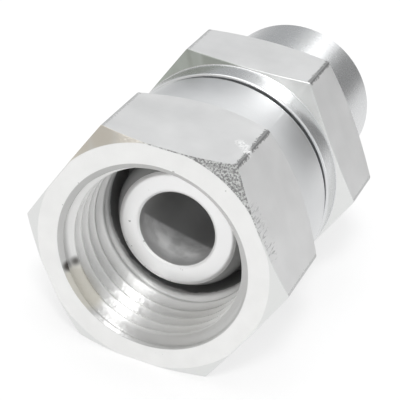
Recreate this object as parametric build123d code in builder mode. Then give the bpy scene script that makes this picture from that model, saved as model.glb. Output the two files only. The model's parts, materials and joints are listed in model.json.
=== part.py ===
from build123d import *
from math import cos, radians, sin, tan
import os

# Swivel adapter, turned from hexagon bar: a one-piece body with a coned nose in front and a
# plain round spigot behind, and a nut that is rolled in behind the body's thrust collar and
# turns freely on it. It lies on its flats. +Z is up, the nut's mouth faces -Y, and the origin
# is under the middle of the length. All sizes are in mm.

# Thread of the nut: G 5/8, 14 threads to the inch. Both pieces are built up from its size
thread_major_diameter = 22.911
thread_depth = 1.162
mouth_relief = 0.15
thread_length = 6.1
thread_runout = 2.8
runout_depth = 0.39

# Nut, outside. The metal over the thread makes the bar 28 mm across its flats
wall_over_thread = 2.5445
nut_corner_length = 11.1
nut_face_over_flats = 0.1
nut_skirt_under_flats = 0.1
nut_rear_chamfer_angle = 45.0
nut_rolled_length = 4.8
nut_roll_step = 0.12
nut_rear_edge_radius = 0.5

# Nut, inside, behind the thread: bored out behind a ledge for the thrust collar
ledge_depth = 15.6
nut_lip_length = 1.0

# Body, from the nose back to the spigot
nose_setback = 7.5
nose_wall = 1.95
nose_tip_radius = 0.7
nose_cone_angle = 60.0
nose_cone_length = 1.9
thrust_collar_width = 1.65
thrust_collar_length = 2.9
neck_depth = 1.65
shoulder_length = 3.2
shoulder_under_flats = 0.2
shoulder_edge = 0.25
body_corner_length = 7.5
body_front_chamfer_angle = 15.0
rear_face_under_flats = 0.4
spigot_diameter = 21.3
spigot_length = 15.5
spigot_chamfer = 0.5
bore_edge = 0.25

# Shared values
chamfer_angle = 30.0
lip_angle = 45.0
nose_side_gap = 1.5
collar_end_clearance = 0.2
collar_side_clearance = 0.06
lip_clearance = 0.25
nut_to_shoulder_gap = 0.8


def fall(outer_radius, inner_radius, angle):
    """Length along the axis of a chamfer this many degrees off the end face."""
    return (outer_radius - inner_radius) * tan(radians(angle))


# Bar, thread and ledge, from the outside in
major_radius = thread_major_diameter / 2
flat_radius = major_radius + wall_over_thread
corner_radius = flat_radius / cos(radians(30))
mouth_radius = major_radius + mouth_relief
thread_radius = major_radius - thread_depth
ledge_radius = thread_radius - runout_depth
thread_start = mouth_radius - thread_radius
thread_end = thread_start + thread_length
runout_end = thread_end + thread_runout

# Nose, which stands free inside the ledge: the sealing cone, a rounded edge and a flat tip
cone_slope = radians(nose_cone_angle / 2)
nose_radius = ledge_radius - nose_side_gap
cone_start_radius = nose_radius - nose_cone_length * tan(cone_slope)
cone_start = nose_setback + nose_tip_radius * (1 - sin(cone_slope))
cone_end = cone_start + nose_cone_length
tip_radius = cone_start_radius - nose_tip_radius * cos(cone_slope)
bore_radius = tip_radius - nose_wall
bore_mouth_radius = bore_radius + bore_edge

# Thrust collar, behind the ledge, and the lip that closes in over the neck behind it
collar_radius = ledge_radius + thrust_collar_width
neck_radius = collar_radius - neck_depth
nut_bore_radius = collar_radius + collar_side_clearance
lip_radius = neck_radius + lip_clearance
collar_front = ledge_depth + collar_end_clearance
collar_rear = collar_front + thrust_collar_length
neck_start = collar_rear + fall(collar_radius, neck_radius, lip_angle)
roll_in_start = collar_rear + collar_end_clearance
lip_start = roll_in_start + fall(nut_bore_radius, lip_radius, lip_angle)

# Nut, counted back from its face
nut_length = lip_start + nut_lip_length
nut_face_radius = flat_radius + nut_face_over_flats
nut_skirt_radius = flat_radius - nut_skirt_under_flats
nut_rolled_radius = nut_skirt_radius - nut_roll_step
nut_front_chamfer = fall(corner_radius, nut_face_radius, chamfer_angle)
nut_skirt_start = nut_corner_length + fall(
    corner_radius, nut_skirt_radius, nut_rear_chamfer_angle
)
roll_start = nut_length - nut_rolled_length
rear_edge_start = nut_length - nut_rear_edge_radius

# Body behind the nut
shoulder_front = nut_length + nut_to_shoulder_gap
shoulder_rear = shoulder_front + shoulder_length
shoulder_radius = flat_radius - shoulder_under_flats
rear_face_radius = flat_radius - rear_face_under_flats
corners_front = shoulder_rear + fall(
    corner_radius, shoulder_radius, body_front_chamfer_angle
)
corners_rear = corners_front + body_corner_length
hexagon_rear = corners_rear + fall(corner_radius, rear_face_radius, chamfer_angle)
spigot_radius = spigot_diameter / 2
total_length = hexagon_rear + spigot_length
spigot_chamfer_start = total_length - spigot_chamfer

# Both hexagons lie on a flat, which sets the height of the axis, with the nut's face in front
front = -total_length / 2
flow_axis = Axis((0, 0, flat_radius), (0, 1, 0))
section_plane = Plane(origin=(0, front, flat_radius), x_dir=(0, 1, 0), z_dir=(1, 0, 0))


def bar_end(depth):
    """Plane across the axis at this depth, facing back, with a hexagon's flat on top."""
    return Plane(origin=(0, front + depth, flat_radius), x_dir=(1, 0, 0), z_dir=(0, 1, 0))


# Nut: a length of hexagon bar, chamfered in front and turned down to a round skirt behind
with BuildPart() as swivel_nut:
    with BuildSketch(bar_end(0)):
        RegularPolygon(radius=flat_radius, side_count=6, major_radius=False)
    extrude(amount=nut_length)
    with BuildSketch(section_plane):
        with BuildLine():
            Polyline(
                (0, 0),
                (0, nut_face_radius),
                (nut_front_chamfer, corner_radius),
                (nut_corner_length, corner_radius),
                (nut_skirt_start, nut_skirt_radius),
                (roll_start, nut_skirt_radius),
                (roll_start, nut_rolled_radius),
                (rear_edge_start, nut_rolled_radius),
            )
            RadiusArc(
                (rear_edge_start, nut_rolled_radius),
                (nut_length, nut_rolled_radius - nut_rear_edge_radius),
                nut_rear_edge_radius,
            )
            Polyline(
                (nut_length, nut_rolled_radius - nut_rear_edge_radius),
                (nut_length, 0),
                (0, 0),
            )
        make_face()
    revolve(axis=flow_axis, mode=Mode.INTERSECT)

    # Inside: countersunk mouth, thread at its minor diameter, run-out down to the ledge, then
    # the bore in which the thrust collar turns, closed behind it by the rolled-in lip
    with BuildSketch(section_plane):
        with BuildLine():
            Polyline(
                (0, 0),
                (0, mouth_radius),
                (thread_start, thread_radius),
                (thread_end, thread_radius),
                (runout_end, ledge_radius),
                (ledge_depth, ledge_radius),
                (ledge_depth, nut_bore_radius),
                (roll_in_start, nut_bore_radius),
                (lip_start, lip_radius),
                (nut_length, lip_radius),
                (nut_length, 0),
                close=True,
            )
        make_face()
    revolve(axis=flow_axis, mode=Mode.SUBTRACT)

# Body: the hexagon and its round shoulder are cut first from the bar
with BuildPart() as adapter_body:
    with BuildSketch(bar_end(shoulder_front)):
        RegularPolygon(radius=flat_radius, side_count=6, major_radius=False)
    extrude(amount=hexagon_rear - shoulder_front)
    with BuildSketch(section_plane):
        with BuildLine():
            Polyline(
                (shoulder_front, 0),
                (shoulder_front, shoulder_radius - shoulder_edge),
                (shoulder_front + shoulder_edge, shoulder_radius),
                (shoulder_rear, shoulder_radius),
                (corners_front, corner_radius),
                (corners_rear, corner_radius),
                (hexagon_rear, rear_face_radius),
                (hexagon_rear, 0),
                close=True,
            )
        make_face()
    revolve(axis=flow_axis, mode=Mode.INTERSECT)

    # In front of the shoulder: nose, thrust collar and neck
    with BuildSketch(section_plane):
        with BuildLine():
            Line((nose_setback, 0), (nose_setback, tip_radius))
            RadiusArc(
                (nose_setback, tip_radius),
                (cone_start, cone_start_radius),
                nose_tip_radius,
            )
            Polyline(
                (cone_start, cone_start_radius),
                (cone_end, nose_radius),
                (collar_front, nose_radius),
                (collar_front, collar_radius),
                (collar_rear, collar_radius),
                (neck_start, neck_radius),
                (shoulder_front, neck_radius),
                (shoulder_front, 0),
                (nose_setback, 0),
            )
        make_face()
    revolve(axis=flow_axis)

    # Behind the hexagon: the plain spigot, with its end chamfered
    with BuildSketch(section_plane):
        with BuildLine():
            Polyline(
                (hexagon_rear, 0),
                (hexagon_rear, spigot_radius),
                (spigot_chamfer_start, spigot_radius),
                (total_length, spigot_radius - spigot_chamfer),
                (total_length, 0),
                close=True,
            )
        make_face()
    revolve(axis=flow_axis)

    # Flow passage, with its sharp edges taken off at both ends
    with BuildSketch(section_plane):
        with BuildLine():
            Polyline(
                (nose_setback, 0),
                (nose_setback, bore_mouth_radius),
                (nose_setback + bore_edge, bore_radius),
                (total_length - bore_edge, bore_radius),
                (total_length, bore_mouth_radius),
                (total_length, 0),
                close=True,
            )
        make_face()
    revolve(axis=flow_axis, mode=Mode.SUBTRACT)

swivel_nut.part.label = "swivel_nut"
adapter_body.part.label = "adapter_body"

os.makedirs("parts", exist_ok=True)
export_step(swivel_nut.part, "parts/swivel_nut.step")
export_step(adapter_body.part, "parts/adapter_body.step")
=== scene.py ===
import json
import math

import bmesh
import bpy
import numpy as np
from mathutils import Matrix, Vector


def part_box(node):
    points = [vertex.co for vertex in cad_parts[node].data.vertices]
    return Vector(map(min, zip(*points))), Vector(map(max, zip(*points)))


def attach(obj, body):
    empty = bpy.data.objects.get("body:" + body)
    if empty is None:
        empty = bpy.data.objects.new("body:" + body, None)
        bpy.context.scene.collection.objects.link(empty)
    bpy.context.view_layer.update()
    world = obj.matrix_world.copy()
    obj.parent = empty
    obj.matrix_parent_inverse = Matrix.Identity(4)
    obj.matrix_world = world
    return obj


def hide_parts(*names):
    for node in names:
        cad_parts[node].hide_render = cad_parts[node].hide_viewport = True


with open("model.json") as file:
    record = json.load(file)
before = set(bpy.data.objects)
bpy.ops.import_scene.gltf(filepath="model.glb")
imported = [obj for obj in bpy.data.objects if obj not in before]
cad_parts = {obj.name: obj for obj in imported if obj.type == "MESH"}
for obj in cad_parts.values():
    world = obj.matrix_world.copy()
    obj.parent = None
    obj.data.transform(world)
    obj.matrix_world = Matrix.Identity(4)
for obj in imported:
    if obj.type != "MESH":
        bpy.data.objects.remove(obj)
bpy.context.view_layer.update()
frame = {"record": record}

# Camera where the photograph was taken from: in front of the nut, to its right and above it,
# with a long lens and a slight roll. Its place is counted from the middle of the nut's face.
mm = 0.001
mounts = {mount["name"]: mount for mount in frame["record"]["mounts"]}
face_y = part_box("swivel_nut")[0].y
axis_z = mounts["nut_thread"]["pos_m"][2]
camera_offset = Vector((49.05, -135.90, 89.43)) * mm
sight_azimuth = math.radians(18.03)
sight_elevation = math.radians(29.30)
sight_roll = math.radians(7.99)

sight = Vector((
    -math.sin(sight_azimuth) * math.cos(sight_elevation),
    math.cos(sight_azimuth) * math.cos(sight_elevation),
    -math.sin(sight_elevation),
))
level_right = Vector((math.cos(sight_azimuth), math.sin(sight_azimuth), 0))
level_up = level_right.cross(sight)
right = level_right * math.cos(sight_roll) + level_up * math.sin(sight_roll)
up = right.cross(sight)
camera_data = bpy.data.cameras.new("camera")
camera_data.lens = 136.34
camera_data.sensor_width = 36
camera_data.clip_start = 0.01
camera = bpy.data.objects.new("camera", camera_data)
camera.matrix_world = Matrix.LocRotScale(
    Vector((0, face_y, axis_z)) + camera_offset,
    Matrix((right, up, -sight)).transposed().to_quaternion(),
    None,
)
bpy.context.scene.collection.objects.link(camera)
bpy.context.scene.camera = camera
bpy.context.scene.view_settings.view_transform = "Standard"


# Room: white to the camera, and round the fitting a pale grey room with soft patches of light
# and shade, which are what the bright metal of the photograph mirrors.
def linear(colour, strength=1.0):
    """Linear red, green, blue and alpha of an sRGB hex colour."""
    parts = [int(colour[i:i + 2], 16) / 255 for i in (0, 2, 4)]
    parts = [p / 12.92 if p <= 0.04045 else ((p + 0.055) / 1.055) ** 2.4 for p in parts]
    return [p * strength for p in parts] + [1]


def fill_inputs(tree, node, inputs):
    """Gives a node's inputs, by name or number, a value, or a link from a socket or from the
    output that another node has in use."""
    for key, value in inputs.items():
        if isinstance(value, bpy.types.Node):
            value = next(socket for socket in value.outputs if socket.enabled)
        if isinstance(value, bpy.types.NodeSocket):
            tree.links.new(value, node.inputs[key])
        else:
            node.inputs[key].default_value = value


def add_node(tree, kind, inputs=None, **settings):
    """A new node with its settings and with its inputs filled."""
    node = tree.nodes.new(kind)
    for name, value in settings.items():
        setattr(node, name, value)
    fill_inputs(tree, node, inputs or {})
    return node


# Each patch: what it is, its direction, its inner and outer angle, its colour and its strength
room_patches = [
    ("ceiling", (0.05, 0.10, 1.00), 24, 44, "ffffff", 1.05),
    ("window", (0.107, 0.829, 0.549), 5.5, 9, "ffffff", 2.6),
    ("right wall", (0.86, 0.50, -0.05), 14, 28, "ffffff", 1.95),
    ("dark corner", (0.53, 0.829, 0.19), 13, 25, "ffffff", 0.27),
    ("shaded wall", (-0.46, 0.829, 0.320), 10, 24, "f4f6f8", 0.49),
    ("front wall", (0.0, -0.93, 0.36), 24, 46, "ffffff", 0.52),
    ("front light", (0.03, -0.92, 0.38), 5, 9, "ffffff", 3.4),
    ("warm side", (-0.74, -0.62, 0.27), 16, 36, "f0eeea", 0.72),
]
world = bpy.data.worlds.new("studio_room")
world.use_nodes = True
bpy.context.scene.world = world
tree = world.node_tree
tree.nodes.clear()
direction = add_node(tree, "ShaderNodeTexCoord").outputs["Generated"]
bare_room = linear("ebecec")
light = bare_room
for label, towards, inner, outer, colour, strength in room_patches:
    along = add_node(tree, "ShaderNodeVectorMath", {
        0: direction, 1: Vector(towards).normalized(),
    }, operation="DOT_PRODUCT", label=label)
    inside = add_node(tree, "ShaderNodeMapRange", {
        "Value": along.outputs["Value"],
        "From Min": math.cos(math.radians(outer)),
        "From Max": math.cos(math.radians(inner)),
    }, interpolation_type="SMOOTHSTEP")
    light = add_node(tree, "ShaderNodeMix", {
        0: inside, 6: light, 7: linear(colour, strength),
    }, data_type="RGBA")
path = add_node(tree, "ShaderNodeLightPath")
to_camera = add_node(tree, "ShaderNodeMix", {
    0: path.outputs["Is Camera Ray"], 6: light, 7: linear("ffffff"),
}, data_type="RGBA")
background = add_node(tree, "ShaderNodeBackground", {"Color": to_camera})
add_node(tree, "ShaderNodeOutputWorld", {"Surface": background})

# Floor and lamps: a sheet of white paper under the fitting, and two area lamps above it. The
# camera and the metal see the sheet near white, with the shadow on it, and the metal sees it
# grow darker towards the back, as in the photograph's room.
sheet_size = 4.0
white_to_camera = 0.62
white_to_metal = 0.85
far_edge_strength = 0.55
sheet_mesh = bpy.data.meshes.new("white_sheet")
half = sheet_size / 2
sheet_mesh.from_pydata(
    [(-half, -half, 0), (half, -half, 0), (half, half, 0), (-half, half, 0)], [], [(0, 1, 2, 3)]
)
sheet = bpy.data.objects.new("white_sheet", sheet_mesh)
bpy.context.scene.collection.objects.link(sheet)
paper = bpy.data.materials.new("white_paper")
paper.use_nodes = True
tree = paper.node_tree
tree.nodes.clear()
path = add_node(tree, "ShaderNodeLightPath")
matt = add_node(tree, "ShaderNodeBsdfDiffuse", {"Color": linear("f4f4f4")})
white = add_node(tree, "ShaderNodeEmission", {"Color": linear("ffffff")})
to_camera = add_node(tree, "ShaderNodeMixShader", {0: white_to_camera, 1: matt, 2: white})
place = add_node(tree, "ShaderNodeTexCoord").outputs["Object"]
place = add_node(tree, "ShaderNodeSeparateXYZ", {0: place}).outputs
far = add_node(tree, "ShaderNodeMapRange", {
    "Value": place[1], "From Min": -0.02, "From Max": 0.30,
    "To Min": 1.0, "To Max": far_edge_strength,
})
shaded = add_node(tree, "ShaderNodeEmission", {"Color": linear("ffffff"), "Strength": far})
to_metal = add_node(tree, "ShaderNodeMixShader", {0: white_to_metal, 1: matt, 2: shaded})
seen = add_node(tree, "ShaderNodeMixShader", {
    0: path.outputs["Is Camera Ray"], 1: matt, 2: to_camera,
})
seen = add_node(tree, "ShaderNodeMixShader", {
    0: path.outputs["Is Glossy Ray"], 1: seen, 2: to_metal,
})
add_node(tree, "ShaderNodeOutputMaterial", {"Surface": seen})
sheet_mesh.materials.append(paper)

# Each lamp: its name, where it hangs from the middle of the fitting, its width and its power.
# The overhead lamp gives the faint shadow, and the key lamp in front of the nut lights the
# streak across the thread and the patch inside the bore.
for name, place, width, power in (
    ("overhead_lamp", (-0.10, 0.05, 0.45), 0.30, 0.30),
    ("key_lamp", (0.10, -0.36, 0.47), 0.10, 1.25),
):
    lamp_data = bpy.data.lights.new(name, "AREA")
    lamp_data.size = width
    lamp_data.energy = power
    lamp = bpy.data.objects.new(name, lamp_data)
    lamp.location = Vector(place) + Vector((0, 0, axis_z))
    lamp.rotation_euler = Vector(place).to_track_quat("Z", "Y").to_euler()
    bpy.context.scene.collection.objects.link(lamp)

# Swivel nut: one piece of 28 mm hexagon bar, chamfered in front, turned to a round skirt
# behind and rolled in at its rear end to hold the body. Steel under bright zinc plating.
flat_radius = 14.0
corner_radius = flat_radius / math.cos(math.radians(30))
corner_rounding = 0.30
rounding_centre = (flat_radius - corner_rounding) / math.cos(math.radians(30))
rounding_reach = math.atan2(
    corner_rounding * 0.5, rounding_centre + corner_rounding * math.cos(math.radians(30))
)
thread_radius = mounts["nut_thread"]["dims"]["r_mm"]
pitch = 25.4 / 14
thread_depth = 0.6403 * pitch
mouth_relief = 0.15
mouth_radius = thread_radius + thread_depth + mouth_relief
mouth_depth = mouth_radius - thread_radius
full_thread_end = 7.412
runout_end = 10.212
ledge_radius = 9.9035
ledge_depth = 15.6
nut_face_radius = 14.1
nut_corners_end = 11.1
skirt_radius = 13.9
roll_start = 16.56
roll_step = 0.12
rolled_radius = skirt_radius - roll_step
nut_length = (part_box("swivel_nut")[1].y - face_y) / mm
lip_length = 1.0
lip_radius = 10.1535
collar_bore_radius = 11.6135
lip_start = nut_length - lip_length
roll_in_start = lip_start - (collar_bore_radius - lip_radius)


def hexagon_angles(step=1.5):
    """Angles round the axis, from the top to the right, close together at each corner."""
    reach = math.degrees(rounding_reach)
    rounded_corner = np.linspace(-reach, reach, 6)
    flat = np.linspace(reach, 60 - reach, round(60 / step))[1:-1]
    sector = np.concatenate([rounded_corner, flat])
    return np.radians(np.concatenate([30 + 60 * i + sector for i in range(6)]))


def hexagon_radius(angles):
    """Distance from the axis to the bar's surface, with its corners rounded."""
    from_corner = (angles - math.radians(30)) % math.radians(60)
    from_corner = np.minimum(from_corner, math.radians(60) - from_corner)
    flat = flat_radius / np.cos(math.radians(30) - from_corner)
    inside = np.maximum(corner_rounding ** 2 - (rounding_centre * np.sin(from_corner)) ** 2, 0)
    arc = rounding_centre * np.cos(from_corner) + np.sqrt(inside)
    return np.where(from_corner < rounding_reach, arc, flat)


def rounded_loop(stations, count, steps=4):
    """Rows of a closed profile. A station is its depth, radius, edge radius and the finish of
    the wall behind it, and each edge becomes a short curve that leaves the walls flat."""
    points = np.array([
        [np.broadcast_to(depth, count), np.broadcast_to(radius, count)]
        for depth, radius, edge, finish in stations
    ]).transpose(0, 2, 1)
    before = np.roll(points, 1, axis=0) - points
    after = np.roll(points, -1, axis=0) - points
    before_length = np.linalg.norm(before, axis=2, keepdims=True)
    after_length = np.linalg.norm(after, axis=2, keepdims=True)
    before = before / before_length
    after = after / after_length
    half_turn = np.arccos(np.clip((before * after).sum(2, keepdims=True), -1, 1)) / 2
    rows, finishes = [], []
    for i, (depth, radius, edge, finish) in enumerate(stations):
        if edge == 0:
            rows.append(points[i])
            finishes.append(finish)
            continue
        reach = np.minimum(edge / np.tan(half_turn[i]), 0.4 * before_length[i])
        reach = np.minimum(reach, 0.4 * after_length[i])
        start = points[i] + before[i] * reach
        end = points[i] + after[i] * reach
        for t in np.linspace(0, 1, steps + 1):
            rows.append((1 - t) ** 2 * start + 2 * t * (1 - t) * points[i] + t ** 2 * end)
            finishes.append(finish if t == 1 else stations[i - 1][3])
    return np.array(rows), finishes


def turned_object(name, rows, finishes, angles, materials):
    """A closed ring of faces, with a row for each point of the profile, as one object."""
    depth, radius = rows[:, :, 0], rows[:, :, 1]
    corners = np.stack([
        radius * np.sin(angles) * mm,
        face_y + depth * mm,
        axis_z + radius * np.cos(angles) * mm,
    ], axis=2)
    row_count, column_count = depth.shape
    grid = np.arange(row_count * column_count).reshape(row_count, column_count)
    below = np.roll(grid, -1, axis=0)
    faces = np.stack([
        grid, np.roll(grid, -1, axis=1), np.roll(below, -1, axis=1), below,
    ], axis=2).reshape(-1, 4)
    mesh = bpy.data.meshes.new(name)
    mesh.from_pydata(corners.reshape(-1, 3).tolist(), [], faces.tolist())
    for material in materials.values():
        mesh.materials.append(material)
    order = list(materials)
    indices = np.repeat([order.index(finish) for finish in finishes], column_count)
    mesh.polygons.foreach_set("material_index", indices.astype(np.int32))
    made = bpy.data.objects.new(name, mesh)
    bpy.context.scene.collection.objects.link(made)
    return made


def settle(made):
    """The object's mesh as its modifiers leave it, closed, smooth and facing outwards."""
    evaluated = made.evaluated_get(bpy.context.evaluated_depsgraph_get())
    mesh = bpy.data.meshes.new_from_object(evaluated)
    made.modifiers.clear()
    made.data = mesh
    work = bmesh.new()
    work.from_mesh(mesh)
    bmesh.ops.remove_doubles(work, verts=work.verts, dist=0.002 * mm)
    bmesh.ops.recalc_face_normals(work, faces=work.faces)
    for face in work.faces:
        face.smooth = True
    work.to_mesh(mesh)
    work.free()


def even_shading(made):
    """Shades each large wall flat, so that only the rounded edges between the walls turn."""
    weighted = made.modifiers.new("wall_normals", "WEIGHTED_NORMAL")
    weighted.mode = "FACE_AREA"
    weighted.weight = 50
    evaluated = made.evaluated_get(bpy.context.evaluated_depsgraph_get())
    mesh = bpy.data.meshes.new_from_object(evaluated)
    made.modifiers.clear()
    made.data = mesh


metals = {}


def new_metal(finish, name, constants):
    """A zinc-plated metal, kept in metals under its finish: its tree, its shader, the place of
    a point in mm from the middle of the nut's face, its depth behind that face and its angle
    round the axis, from the top to the right."""
    metals[finish] = bpy.data.materials.new(name)
    metals[finish].use_nodes = True
    tree = metals[finish].node_tree
    shader = tree.nodes["Principled BSDF"]
    fill_inputs(tree, shader, constants)
    point = add_node(tree, "ShaderNodeTexCoord").outputs["Object"]
    point = add_node(tree, "ShaderNodeVectorMath", {
        0: point, 1: (0, face_y, axis_z),
    }, operation="SUBTRACT")
    place = add_node(tree, "ShaderNodeVectorMath", {0: point, "Scale": 1 / mm}, operation="SCALE")
    parts = add_node(tree, "ShaderNodeSeparateXYZ", {0: place}).outputs
    angle = add_node(tree, "ShaderNodeMath", {0: parts[0], 1: parts[2]}, operation="ARCTAN2")
    return tree, shader, place, parts[1], angle


def near(tree, place, spots, inner, outer):
    """1 within the inner radius of any of the spots, falling to 0 at the outer radius."""
    total = 0.0
    for spot in spots:
        away = add_node(tree, "ShaderNodeVectorMath", {0: place, 1: spot}, operation="DISTANCE")
        inside = add_node(tree, "ShaderNodeMapRange", {
            "Value": away.outputs["Value"], "From Min": outer, "From Max": inner,
        }, interpolation_type="SMOOTHSTEP")
        total = add_node(tree, "ShaderNodeMath", {0: inside, 1: total}, operation="MAXIMUM")
    return total


# Zinc over the bar's drawn flats: an even soft sheen with faint draw lines along the bar. The
# corners are rubbed, and the flats are scored where they meet the front chamfer.
tree, shader, place, _, angle = new_metal("drawn", "zinc_over_drawn_steel", {"Metallic": 1.0})
along_bar = add_node(tree, "ShaderNodeVectorMath", {
    0: place, 1: (1, 0.06, 1),
}, operation="MULTIPLY")
draw_lines = add_node(tree, "ShaderNodeTexNoise", {
    "Vector": along_bar, "Scale": 2.0, "Detail": 4.0,
})
clouds = add_node(tree, "ShaderNodeTexNoise", {"Vector": place, "Scale": 0.25, "Detail": 3.0})
pits = add_node(tree, "ShaderNodeTexNoise", {"Vector": place, "Scale": 3.5, "Detail": 2.0})
from_corner = add_node(tree, "ShaderNodeMath", {
    0: angle, 1: math.radians(60),
}, operation="FLOORED_MODULO")
from_corner = add_node(tree, "ShaderNodeMath", {
    0: from_corner, 1: math.radians(30),
}, operation="SUBTRACT")
from_corner = add_node(tree, "ShaderNodeMath", {0: from_corner}, operation="ABSOLUTE")
rub_width = add_node(tree, "ShaderNodeMapRange", {
    "Value": pits, "From Min": 0.3, "From Max": 0.7, "To Min": 0.4, "To Max": 1.8,
})
rub_width = add_node(tree, "ShaderNodeMath", {0: rub_width}, operation="RADIANS")
rubbed = add_node(tree, "ShaderNodeMath", {0: from_corner, 1: rub_width}, operation="LESS_THAN")
top_right = add_node(tree, "ShaderNodeMath", {0: angle, 1: math.radians(30)}, operation="SUBTRACT")
top_right = add_node(tree, "ShaderNodeMath", {0: top_right}, operation="ABSOLUTE")
top_right = add_node(tree, "ShaderNodeMapRange", {
    "Value": top_right, "From Min": 0.1, "From Max": 0.2, "To Min": 0.75, "To Max": 0.25,
})
rubbed = add_node(tree, "ShaderNodeMath", {0: rubbed, 1: top_right}, operation="MULTIPLY")
tone = add_node(tree, "ShaderNodeMix", {
    0: clouds, 6: linear("dcdcdc"), 7: linear("eeeeee"),
}, data_type="RGBA")
tone = add_node(tree, "ShaderNodeMix", {0: rubbed, 6: tone, 7: linear("6c6c6c")}, data_type="RGBA")
across = add_node(tree, "ShaderNodeVectorMath", {0: place, 1: (5, 0.6, 5)}, operation="MULTIPLY")
scores = add_node(tree, "ShaderNodeTexNoise", {"Vector": across, "Scale": 1.3, "Detail": 2.0})
scores = add_node(tree, "ShaderNodeMapRange", {"Value": scores, "From Min": 0.55, "From Max": 0.62})
front_edge = near(tree, place, [(10.8, 0.8, 8.9), (11.9, 1.0, 6.8), (12.9, 1.3, 5.0)], 0.8, 1.9)
scores = add_node(tree, "ShaderNodeMath", {0: scores, 1: front_edge}, operation="MULTIPLY")
score_tone = add_node(tree, "ShaderNodeMath", {0: scores, 1: 0.4}, operation="MULTIPLY")
tone = add_node(tree, "ShaderNodeMix", {
    0: score_tone, 6: tone, 7: linear("6a6a6a"),
}, data_type="RGBA")
nicks = add_node(tree, "ShaderNodeMapRange", {"Value": pits, "From Min": 0.44, "From Max": 0.52})
burr = near(tree, place, [(7.2, 5.7, 14.0), (6.5, 6.3, 14.0), (7.9, 4.8, 13.9)], 0.4, 0.9)
burr = add_node(tree, "ShaderNodeMath", {0: burr, 1: nicks}, operation="MULTIPLY")
tone = add_node(tree, "ShaderNodeMix", {0: burr, 6: tone, 7: linear("ffffff")}, data_type="RGBA")
rise = add_node(tree, "ShaderNodeMath", {0: draw_lines, 1: 0.006}, operation="MULTIPLY")
rise = add_node(tree, "ShaderNodeMath", {0: pits, 1: 0.004, 2: rise}, operation="MULTIPLY_ADD")
rise = add_node(tree, "ShaderNodeMath", {0: scores, 1: -0.06, 2: rise}, operation="MULTIPLY_ADD")
normal = add_node(tree, "ShaderNodeBump", {"Height": rise, "Distance": mm})
gloss = add_node(tree, "ShaderNodeMapRange", {"Value": clouds, "To Min": 0.44, "To Max": 0.53})
fill_inputs(tree, shader, {"Base Color": tone, "Roughness": gloss, "Normal": normal})

# Zinc over turned steel: a satin sheen, duller on the nut's skirt than on the body, with fine
# feed marks round it. They lie about 0.1 mm apart on the real steel and are drawn coarser.
feed_mark_spacing = 0.22
tree, shader, place, depth, _ = new_metal("turned", "zinc_over_turned_steel", {
    "Base Color": linear("dedfe0"), "Metallic": 1.0,
})
round_only = add_node(tree, "ShaderNodeVectorMath", {0: place, 1: (1, 0, 1)}, operation="MULTIPLY")
radius = add_node(tree, "ShaderNodeVectorMath", {
    0: round_only,
}, operation="LENGTH").outputs["Value"]
along = add_node(tree, "ShaderNodeMath", {0: radius, 1: depth}, operation="ADD")
marks = add_node(tree, "ShaderNodeMath", {
    0: along, 1: 2 * math.pi / feed_mark_spacing,
}, operation="MULTIPLY")
marks = add_node(tree, "ShaderNodeMath", {0: marks}, operation="SINE")
ripple = add_node(tree, "ShaderNodeTexNoise", {"Vector": place, "Scale": 0.6, "Detail": 3.0})
rise = add_node(tree, "ShaderNodeMath", {0: ripple, 1: 0.012}, operation="MULTIPLY")
rise = add_node(tree, "ShaderNodeMath", {0: marks, 1: 0.0012, 2: rise}, operation="MULTIPLY_ADD")
normal = add_node(tree, "ShaderNodeBump", {"Height": rise, "Distance": mm})
dull = add_node(tree, "ShaderNodeMapRange", {
    "Value": depth, "From Min": 14.0, "From Max": 23.0, "To Min": 0.54, "To Max": 0.27,
})
gloss = add_node(tree, "ShaderNodeMath", {0: ripple, 1: 0.08, 2: dull}, operation="MULTIPLY_ADD")
gloss = add_node(tree, "ShaderNodeMath", {0: gloss, 1: 0.04}, operation="SUBTRACT")
fill_inputs(tree, shader, {"Roughness": gloss, "Normal": normal})

# Zinc over the front chamfer: satin, but torn and burred between the top and right flats
tree, shader, place, _, angle = new_metal("chamfer", "zinc_over_front_chamfer", {"Metallic": 1.0})
torn = add_node(tree, "ShaderNodeMapRange", {
    "Value": angle, "From Min": math.radians(-34), "From Max": math.radians(12),
}, interpolation_type="SMOOTHSTEP")
torn_end = add_node(tree, "ShaderNodeMapRange", {
    "Value": angle, "From Min": math.radians(66), "From Max": math.radians(56),
}, interpolation_type="SMOOTHSTEP")
torn = add_node(tree, "ShaderNodeMath", {0: torn, 1: torn_end}, operation="MULTIPLY")
tears = add_node(tree, "ShaderNodeTexNoise", {
    "Vector": place, "Scale": 4.2, "Detail": 3.0, "Roughness": 0.7,
})
speckle = add_node(tree, "ShaderNodeMapRange", {"Value": tears, "From Min": 0.44, "From Max": 0.56})
speckle = add_node(tree, "ShaderNodeMath", {0: speckle, 1: torn}, operation="MULTIPLY")
tone = add_node(tree, "ShaderNodeMix", {
    0: speckle, 6: linear("e2e3e2"), 7: linear("9a9a9a"),
}, data_type="RGBA")
stain = near(tree, place, [(-7.6, 0.5, 13.2), (-4.5, 0.5, 14.2), (-10.3, 0.5, 10.9)], 1.0, 3.2)
tone = add_node(tree, "ShaderNodeMix", {0: stain, 6: tone, 7: linear("dcd7ce")}, data_type="RGBA")
rise = add_node(tree, "ShaderNodeMath", {0: tears, 1: torn}, operation="MULTIPLY")
normal = add_node(tree, "ShaderNodeBump", {"Height": rise, "Distance": 0.45 * mm})
gloss = add_node(tree, "ShaderNodeMapRange", {"Value": torn, "To Min": 0.34, "To Max": 0.5})
fill_inputs(tree, shader, {"Base Color": tone, "Roughness": gloss, "Normal": normal})

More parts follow.
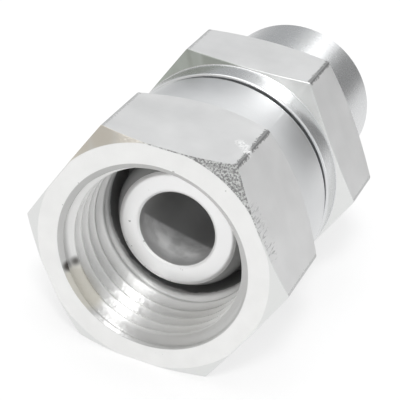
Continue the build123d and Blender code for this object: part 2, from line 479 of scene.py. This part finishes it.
# Zinc over the cones behind the flats: satin, with a painted dark greenish reflection on the
# body's cone, up on the left
tree, shader, place, _, _ = new_metal("cones", "zinc_over_rear_cones", {"Metallic": 1.0})
clouds = add_node(tree, "ShaderNodeTexNoise", {"Vector": place, "Scale": 0.5, "Detail": 3.0})
# Painted reflection: a dark greenish patch on the body's cone, up on the left
painted_dark_reflection = near(tree, place, [(-8.0, 25.6, 12.6), (-4.0, 25.6, 13.9), (-10.5, 25.6, 10.5)], 1.5, 4.5)
tone = add_node(tree, "ShaderNodeMix", {
    0: painted_dark_reflection, 6: linear("e4e5e4"), 7: linear("aeb3ad"),
}, data_type="RGBA")
rise = add_node(tree, "ShaderNodeMath", {0: clouds, 1: 0.02}, operation="MULTIPLY")
normal = add_node(tree, "ShaderNodeBump", {"Height": rise, "Distance": mm})
gloss = add_node(tree, "ShaderNodeMapRange", {"Value": clouds, "To Min": 0.24, "To Max": 0.36})
fill_inputs(tree, shader, {"Base Color": tone, "Roughness": gloss, "Normal": normal})

# Zinc over the faced ends: near white and soft, from a fine facing cut, with a few dark specks.
# The rim of the bore is duller, so that it doesn't glint.
tree, shader, place, depth, _ = new_metal("faced", "zinc_over_faced_steel", {"Metallic": 0.8})
grain = add_node(tree, "ShaderNodeTexNoise", {"Vector": place, "Scale": 2.4, "Detail": 4.0})
clouds = add_node(tree, "ShaderNodeTexNoise", {"Vector": place, "Scale": 0.35, "Detail": 4.0})
specks = add_node(tree, "ShaderNodeTexNoise", {"Vector": place, "Scale": 1.1, "Detail": 2.0})
specks = add_node(tree, "ShaderNodeMapRange", {
    "Value": specks, "From Min": 0.72, "From Max": 0.76, "To Max": 0.6,
})
tone = add_node(tree, "ShaderNodeMix", {
    0: clouds, 6: linear("e4e4e3"), 7: linear("f3f3f2"),
}, data_type="RGBA")
# Painted light: the faced ends deeper in the nut, such as the nose's face, are painted brighter
recess_painted_light = add_node(tree, "ShaderNodeMapRange", {"Value": depth, "From Min": 1.0, "From Max": 6.0})
tone = add_node(tree, "ShaderNodeMix", {0: recess_painted_light, 6: tone, 7: linear("fbfbfb")}, data_type="RGBA")
tone = add_node(tree, "ShaderNodeMix", {0: specks, 6: tone, 7: linear("8c8c8a")}, data_type="RGBA")
rise = add_node(tree, "ShaderNodeMath", {0: grain, 1: 0.008}, operation="MULTIPLY")
normal = add_node(tree, "ShaderNodeBump", {"Height": rise, "Distance": mm})
gloss = add_node(tree, "ShaderNodeMapRange", {"Value": clouds, "To Min": 0.34, "To Max": 0.46})
across = add_node(tree, "ShaderNodeVectorMath", {0: place, 1: (1, 0, 1)}, operation="MULTIPLY")
radius = add_node(tree, "ShaderNodeVectorMath", {0: across}, operation="LENGTH").outputs["Value"]
rim = add_node(tree, "ShaderNodeMapRange", {
    "Value": radius, "From Min": 5.2, "From Max": 4.95, "To Max": 0.4,
})
gloss = add_node(tree, "ShaderNodeMath", {0: gloss, 1: rim}, operation="ADD")
fill_inputs(tree, shader, {"Base Color": tone, "Roughness": gloss, "Normal": normal})

# Zinc in the thread: bright where the tap has left it and duller from the run-out back. Painted
# shade turns everything deeper than the run-out dark grey, and the countersink is painted a darker
# grey as painted shade. There is a dry beige stain and two dark spots where the thread begins. Its
# cutting marks are too fine to draw and run round the hole, and they draw each light out into a
# streak along the axis.
tree, shader, place, depth, _ = new_metal("inner", "zinc_over_cut_thread", {"Anisotropic": 0.9})
shade_edge_and_bump_noise = add_node(tree, "ShaderNodeTexNoise", {"Vector": place, "Scale": 0.9, "Detail": 3.0})
# Painted shade: everything deeper than about 11 mm, down in the gap between nut and body, is
# painted dark grey, with a ragged edge
painted_gap_shade = add_node(tree, "ShaderNodeMath", {0: shade_edge_and_bump_noise, 1: 0.8, 2: depth}, operation="MULTIPLY_ADD")
painted_gap_shade = add_node(tree, "ShaderNodeMapRange", {
    "Value": painted_gap_shade, "From Min": 10.8, "From Max": 11.3,
}, interpolation_type="SMOOTHSTEP")
matt = add_node(tree, "ShaderNodeMapRange", {"Value": depth, "From Min": 7.4, "From Max": 9.6})
stain = near(tree, place, [(-8.1, 1.2, -7.3), (-8.9, 0.8, -6.3), (-7.4, 1.0, -8.0)], 1.0, 2.4)
spots = near(tree, place, [(-10.1, 0.5, -4.7), (-9.5, 1.1, -4.3)], 0.25, 0.95)
# Painted shade: the countersink at the mouth is painted a darker grey
countersink_painted_shade = add_node(tree, "ShaderNodeMapRange", {
    "Value": depth, "From Min": 1.4, "From Max": 1.1,
})
tone = add_node(tree, "ShaderNodeMix", {
    0: countersink_painted_shade, 6: linear("f6f6f5"), 7: linear("d2d2d1"),
}, data_type="RGBA")
tone = add_node(tree, "ShaderNodeMix", {0: painted_gap_shade, 6: tone, 7: linear("959595")}, data_type="RGBA")
tone = add_node(tree, "ShaderNodeMix", {0: stain, 6: tone, 7: linear("cac7be")}, data_type="RGBA")
tone = add_node(tree, "ShaderNodeMix", {0: spots, 6: tone, 7: linear("56534f")}, data_type="RGBA")
plating = add_node(tree, "ShaderNodeMapRange", {"Value": matt, "To Min": 0.92, "To Max": 0.30})
plating = add_node(tree, "ShaderNodeMath", {
    0: stain, 1: -0.5, 2: plating,
}, operation="MULTIPLY_ADD")
gloss = add_node(tree, "ShaderNodeMapRange", {"Value": matt, "To Min": 0.48, "To Max": 0.50})
along_axis = add_node(tree, "ShaderNodeVectorTransform", {
    0: (0, 1, 0),
}, vector_type="VECTOR", convert_from="OBJECT", convert_to="WORLD")
chatter = add_node(tree, "ShaderNodeTexNoise", {"Vector": place, "Scale": 2.6, "Detail": 2.0})
rise = add_node(tree, "ShaderNodeMath", {0: shade_edge_and_bump_noise, 1: 0.03}, operation="MULTIPLY")
rise = add_node(tree, "ShaderNodeMath", {0: chatter, 1: 0.02, 2: rise}, operation="MULTIPLY_ADD")
normal = add_node(tree, "ShaderNodeBump", {"Height": rise, "Distance": mm})
fill_inputs(tree, shader, {
    "Base Color": tone, "Metallic": plating, "Roughness": gloss, "Normal": normal,
    "Tangent": along_axis,
})

angles = hexagon_angles()
bar = hexagon_radius(angles)
least_chamfer_width = 0.12
least_chamfer_depth = 0.07
face_edge = np.minimum(nut_face_radius, bar - least_chamfer_width)
chamfer_depth = np.maximum(
    (bar - nut_face_radius) * math.tan(math.radians(30)), least_chamfer_depth
)
thread_row_count = 118
mouth_row_count = 15
thread_rows = np.linspace(runout_end, mouth_depth, thread_row_count)[1:-1]
thread_radii = np.interp(
    thread_rows, [full_thread_end, runout_end], [thread_radius, ledge_radius]
)
thread_walls = [
    (depth, radius, 0, "inner") for depth, radius in zip(thread_rows, thread_radii)
]
mouth_rows = np.linspace(mouth_depth, 0, mouth_row_count)[:-1]
mouth_walls = [(depth, mouth_radius - depth, 0, "inner") for depth in mouth_rows]
nut_stations = [
    (0, mouth_radius, 0.15, "faced"),
    (0, face_edge, 0.12, "chamfer"),
    (chamfer_depth, bar, 0.10, "drawn"),
    (nut_corners_end + corner_radius - bar, bar, 0.10, "cones"),
    (nut_corners_end + corner_radius - skirt_radius, skirt_radius, 0.3, "turned"),
    (roll_start, skirt_radius, 0.1, "turned"),
    (roll_start + roll_step, rolled_radius, 0.1, "turned"),
    (nut_length, rolled_radius, 0.5, "turned"),
    (nut_length, lip_radius, 0.1, "inner"),
    (lip_start, lip_radius, 0.1, "inner"),
    (roll_in_start, collar_bore_radius, 0.1, "inner"),
    (ledge_depth, collar_bore_radius, 0.05, "inner"),
    (ledge_depth, ledge_radius, 0.05, "inner"),
    (runout_end, ledge_radius, 0, "inner"),
] + thread_walls + mouth_walls
rows, finishes = rounded_loop(nut_stations, len(angles))
nut = turned_object("hexagon_swivel_nut", rows, finishes, angles, metals)

# Thread inside the nut: right-handed, 14 to the inch, cut outwards from the plain hole by a
# node tree that follows the depth and the angle of each point and fades out at the run-out.
thread_turns_at_top = 0.29
thread_fade_start = 8.0
crest_end = 0.083
root_start = 0.417


def cut_thread(made, metal):
    """Cuts the thread into the object's hole and leaves the metal on the walls that had it."""
    tree = bpy.data.node_groups.new("cut_thread", "GeometryNodeTree")
    tree.interface.new_socket("Geometry", in_out="INPUT", socket_type="NodeSocketGeometry")
    tree.interface.new_socket("Geometry", in_out="OUTPUT", socket_type="NodeSocketGeometry")
    sizes = {
        "Pitch": pitch * mm,
        "Groove Depth": thread_depth * mm,
        "Face": face_y,
        "Axis Height": axis_z,
        "Turns At Top": thread_turns_at_top,
        "Minor Radius": thread_radius * mm,
        "Widest Cut": (mouth_radius + 0.01) * mm,
        "Fade Start": thread_fade_start * mm,
        "Fade End": runout_end * mm,
        "Crest End": crest_end,
        "Root Start": root_start,
    }
    for label in sizes:
        tree.interface.new_socket(label, in_out="INPUT", socket_type="NodeSocketFloat")
    given = tree.nodes.new("NodeGroupInput").outputs

    def maths(operation, *values):
        inputs = dict(enumerate(values))
        return add_node(tree, "ShaderNodeMath", inputs, operation=operation).outputs[0]

    place = add_node(tree, "ShaderNodeSeparateXYZ", {
        0: add_node(tree, "GeometryNodeInputPosition").outputs[0],
    }).outputs
    height = maths("SUBTRACT", place[2], given["Axis Height"])
    depth = maths("SUBTRACT", place[1], given["Face"])
    radius = maths("SQRT", maths("ADD", maths("POWER", place[0], 2), maths("POWER", height, 2)))
    turn = maths("DIVIDE", maths("ARCTAN2", place[0], height), 2 * math.pi)
    along = maths("SUBTRACT", maths("DIVIDE", depth, given["Pitch"]), turn)
    flank = maths("PINGPONG", maths("SUBTRACT", along, given["Turns At Top"]), 0.5)
    share = add_node(tree, "ShaderNodeMapRange", {
        "Value": flank, "From Min": given["Crest End"], "From Max": given["Root Start"],
    }).outputs["Result"]
    fade = add_node(tree, "ShaderNodeMapRange", {
        "Value": depth, "From Min": given["Fade Start"], "From Max": given["Fade End"],
        "To Min": 1.0, "To Max": 0.0,
    }, interpolation_type="SMOOTHSTEP").outputs["Result"]
    groove = maths("MULTIPLY", maths("MULTIPLY", share, fade), given["Groove Depth"])
    hole = maths("MINIMUM", radius, given["Minor Radius"])
    cut = maths("MAXIMUM", radius, maths("ADD", hole, groove))
    growth = maths("DIVIDE", cut, radius)
    moved = add_node(tree, "ShaderNodeCombineXYZ", {
        0: maths("MULTIPLY", place[0], growth),
        1: place[1],
        2: maths("ADD", maths("MULTIPLY", height, growth), given["Axis Height"]),
    }).outputs[0]
    in_hole = maths("LESS_THAN", radius, given["Widest Cut"])
    in_front = maths("LESS_THAN", depth, given["Fade End"])
    inside = add_node(tree, "FunctionNodeBooleanMath", {0: in_hole, 1: in_front}, operation="AND")
    cut_mesh = add_node(tree, "GeometryNodeSetPosition", {
        "Geometry": given["Geometry"], "Selection": inside.outputs[0], "Position": moved,
    })
    whole = add_node(tree, "GeometryNodeRealizeInstances", {0: cut_mesh.outputs[0]})
    wall = add_node(tree, "GeometryNodeInputMaterialIndex").outputs[0]
    threaded = add_node(tree, "FunctionNodeCompare", {
        2: wall, 3: made.data.materials.find(metal.name),
    }, data_type="INT", operation="EQUAL").outputs[0]
    finish = add_node(tree, "GeometryNodeSetMaterial", {
        "Geometry": whole.outputs[0], "Selection": threaded, "Material": metal,
    })
    add_node(tree, "NodeGroupOutput", {0: finish.outputs[0]})
    cutter = made.modifiers.new("cut_thread", "NODES")
    cutter.node_group = tree
    identifiers = {item.name: item.identifier for item in tree.interface.items_tree}
    for label, value in sizes.items():
        cutter[identifiers[label]] = value


cut_thread(nut, metals["inner"])
settle(nut)
even_shading(nut)
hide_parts("swivel_nut")
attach(nut, "nut")

# Adapter body: one piece of the same bar, with the coned nose, the thrust collar and the neck
# turned in front of its hexagon, and the plain spigot behind it. Bored right through.
nose_setback = (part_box("adapter_body")[0].y - face_y) / mm
bore_radius = 4.75
bore_edge = 0.25
tip_radius = 6.7
tip_rounding = 0.7
cone_end = nose_setback + 2.25
nose_radius = 8.4035
thrust_collar_radius = 11.5535
thrust_collar_front = 15.8
thrust_collar_rear = 18.7
neck_radius = 9.9035
nut_to_shoulder_gap = 0.8
shoulder_length = 3.2
shoulder_front = nut_length + nut_to_shoulder_gap
shoulder_rear = shoulder_front + shoulder_length
shoulder_radius = 13.8
hexagon_rear = 34.975
rear_face_radius = 13.6
corners_rear = hexagon_rear - (corner_radius - rear_face_radius) * math.tan(math.radians(30))
spigot_radius = mounts["spigot"]["dims"]["r_mm"]
body_end = (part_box("adapter_body")[1].y - face_y) / mm
spigot_chamfer = 0.5

# Zinc on the nose's cone: satin, with painted shade: grey past the tip's rounded edge and darker
# still the further it goes back into the nut
tree, shader, place, depth, _ = new_metal("nose", "zinc_over_turned_nose", {
    "Roughness": 0.36, "Metallic": 0.8,
})
waves = add_node(tree, "ShaderNodeTexNoise", {"Vector": place, "Scale": 0.8, "Detail": 2.0})
# Painted shade: grey past the tip's rounded edge, and darker still deeper in the nut
edge = add_node(tree, "ShaderNodeMapRange", {"Value": depth, "From Min": 7.52, "From Max": 7.95})
painted_recess_shade = add_node(tree, "ShaderNodeMapRange", {"Value": depth, "From Min": 8.6, "From Max": 10.8})
tone = add_node(tree, "ShaderNodeMix", {
    0: edge, 6: linear("f4f4f4"), 7: linear("b4b4b4"),
}, data_type="RGBA")
tone = add_node(tree, "ShaderNodeMix", {0: painted_recess_shade, 6: tone, 7: linear("707070")}, data_type="RGBA")
rise = add_node(tree, "ShaderNodeMath", {0: waves, 1: 0.012}, operation="MULTIPLY")
normal = add_node(tree, "ShaderNodeBump", {"Height": rise, "Distance": mm})
fill_inputs(tree, shader, {"Base Color": tone, "Normal": normal})

# Thin zinc in the bored passage: matt grey, with a painted pool of light just inside the nose,
# white and less metallic, edged by the painted shadow of the rim
tree, shader, place, depth, angle = new_metal("bored", "thin_zinc_in_bore", {"Roughness": 0.45})
# Painted light: a pool of light where the key lamp falls through the mouth, bounded by a curve that
# follows the rim's shadow, uneven and fading towards the rim
turn = add_node(tree, "ShaderNodeMath", {0: angle, 1: math.radians(192)}, operation="SUBTRACT")
turn = add_node(tree, "ShaderNodeMath", {0: turn}, operation="COSINE")
reach = add_node(tree, "ShaderNodeMath", {0: turn, 1: 6.75, 2: 7.75}, operation="MULTIPLY_ADD")
inside = add_node(tree, "ShaderNodeMath", {0: reach, 1: depth}, operation="SUBTRACT")
pool_and_bump_noise = add_node(tree, "ShaderNodeTexNoise", {"Vector": place, "Scale": 0.55, "Detail": 3.0})
pool_strength = add_node(tree, "ShaderNodeMapRange", {
    "Value": pool_and_bump_noise, "From Min": 0.38, "From Max": 0.58, "To Min": 0.55,
})
painted_light_pool = add_node(tree, "ShaderNodeMapRange", {
    "Value": inside, "From Min": -0.2, "From Max": 0.5,
}, interpolation_type="SMOOTHSTEP")
off_rim = add_node(tree, "ShaderNodeMapRange", {
    "Value": depth, "From Min": 8.4, "From Max": 10.6, "To Min": 0.15,
})
painted_light_pool = add_node(tree, "ShaderNodeMath", {0: painted_light_pool, 1: pool_strength}, operation="MULTIPLY")
painted_light_pool = add_node(tree, "ShaderNodeMath", {0: painted_light_pool, 1: off_rim}, operation="MULTIPLY")
tone = add_node(tree, "ShaderNodeMix", {
    0: painted_light_pool, 6: linear("c4c4c4"), 7: linear("ffffff"),
}, data_type="RGBA")
plating = add_node(tree, "ShaderNodeMapRange", {"Value": painted_light_pool, "To Min": 0.5, "To Max": 0.0})
rise = add_node(tree, "ShaderNodeMath", {0: pool_and_bump_noise, 1: 0.02}, operation="MULTIPLY")
normal = add_node(tree, "ShaderNodeBump", {"Height": rise, "Distance": mm})
fill_inputs(tree, shader, {"Base Color": tone, "Metallic": plating, "Normal": normal})

body_stations = [
    (nose_setback + bore_edge, bore_radius, 0.1, "faced"),
    (nose_setback, bore_radius + bore_edge, 0.1, "faced"),
    (nose_setback, tip_radius + 0.4, tip_rounding, "nose"),
    (cone_end, nose_radius, 0.3, "nose"),
    (thrust_collar_front, nose_radius, 0.1, "inner"),
    (thrust_collar_front, thrust_collar_radius, 0.1, "inner"),
    (thrust_collar_rear, thrust_collar_radius, 0.1, "inner"),
    (thrust_collar_rear + thrust_collar_radius - neck_radius, neck_radius, 0.1, "inner"),
    (shoulder_front, neck_radius, 0.1, "turned"),
    (shoulder_front, shoulder_radius, 0.3, "turned"),
    (shoulder_rear, shoulder_radius, 0.15, "cones"),
    (shoulder_rear + (bar - shoulder_radius) * math.tan(math.radians(15)), bar, 0.12, "drawn"),
    (corners_rear + (corner_radius - bar) * math.tan(math.radians(30)), bar, 0.12, "cones"),
    (hexagon_rear, rear_face_radius, 0.12, "turned"),
    (hexagon_rear, spigot_radius, 0.2, "turned"),
    (body_end - spigot_chamfer, spigot_radius, 0.1, "turned"),
    (body_end, spigot_radius - spigot_chamfer, 0.1, "faced"),
    (body_end, bore_radius + bore_edge, 0.1, "bored"),
    (body_end - bore_edge, bore_radius, 0.1, "bored"),
]
rows, finishes = rounded_loop(body_stations, len(angles))
body = turned_object("coned_adapter_body", rows, finishes, angles, metals)
settle(body)
even_shading(body)
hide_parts("adapter_body")
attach(body, "body")
